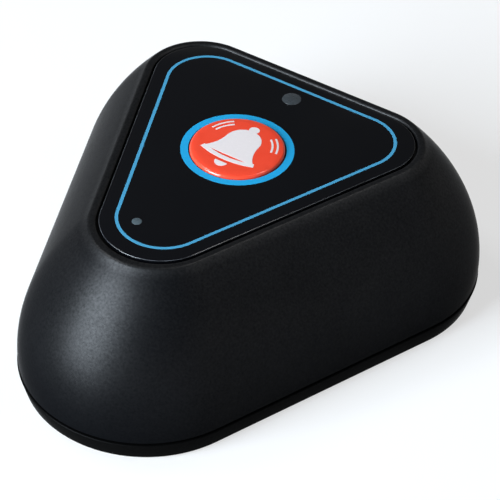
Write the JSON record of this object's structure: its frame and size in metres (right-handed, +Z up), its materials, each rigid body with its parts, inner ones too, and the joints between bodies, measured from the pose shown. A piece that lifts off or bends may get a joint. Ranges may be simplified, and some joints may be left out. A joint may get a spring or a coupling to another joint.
{
  "type": "waiter call button",
  "caption": "Table-top radio call button: a flared rounded-triangle housing with a sunk gloss face panel and one raised round push key.",
  "frame": {"origin": "middle of the plan box, on the table that the rubber feet stand on", "axes": "+Z up, the key's travel is along -Z; -Y towards the apex of the rounded triangle, +Y towards its far edge; mirror plane X = 0 but for the small light window and its lamp"},
  "size_m": [0.0784, 0.0856, 0.0316],
  "materials": {
    "housing_black": "fine satin texture, moulded ABS",
    "base_black": "fine satin texture, moulded ABS",
    "seal_rubber": "soft, matt",
    "panel_black": "gloss, printed from behind",
    "adhesive_film": "double-sided film",
    "window_grey": "smoky clear rod, flush with the panel",
    "key_red": "gloss, soft domed edge",
    "switch_black": "moulded nylon",
    "spring_steel": "sprung stainless sheet",
    "tinned_steel": "tin plated",
    "board_green": "solder resist over glass laminate",
    "lamp_white": "moulded lamp body",
    "chip_black": "moulded epoxy",
    "can_metal": "nickel-plated can",
    "chip_ceramic": "ceramic with soldered ends",
    "antenna_brass": "bare bent wire",
    "holder_black": "moulded nylon",
    "jacket_blue": "shrunk sleeve, unprinted",
    "screw_steel": "zinc plated, cross recess",
    "foot_rubber": "soft, matt"
  },
  "bodies": {
    "housing": {"top_shell": "housing_black", "base_plate": "base_black", "case_seal": "seal_rubber", "face_panel": "panel_black", "panel_adhesive": "adhesive_film", "window_large": "window_grey", "window_small": "window_grey", "switch_dome": "spring_steel", "switch_base": "switch_black", "switch_cover": "tinned_steel", "switch_pins": "tinned_steel", "main_board": "board_green", "led_large": "lamp_white", "led_small": "lamp_white", "encoder_chip": "chip_black", "encoder_leads": "tinned_steel", "resonator": "can_metal", "transistor": "chip_black", "chip_parts": "chip_ceramic", "antenna": "antenna_brass", "battery_holder": "holder_black", "battery_contacts": "spring_steel", "battery_cell": "can_metal", "battery_jacket": "jacket_blue", "board_screws": "screw_steel", "case_screws": "screw_steel", "feet": "foot_rubber"},
    "key": {"key_cap": "key_red", "switch_plunger": "switch_black"}
  },
  "joints": [
    {"name": "key_press", "type": "slide", "parent": "housing", "child": "key", "axis": [0, 0, -1], "range_m": [0, 0.0005], "stiffness_N_per_m": 600, "springref_m": -0.002, "deforming": ["switch_dome"]}
  ]
}
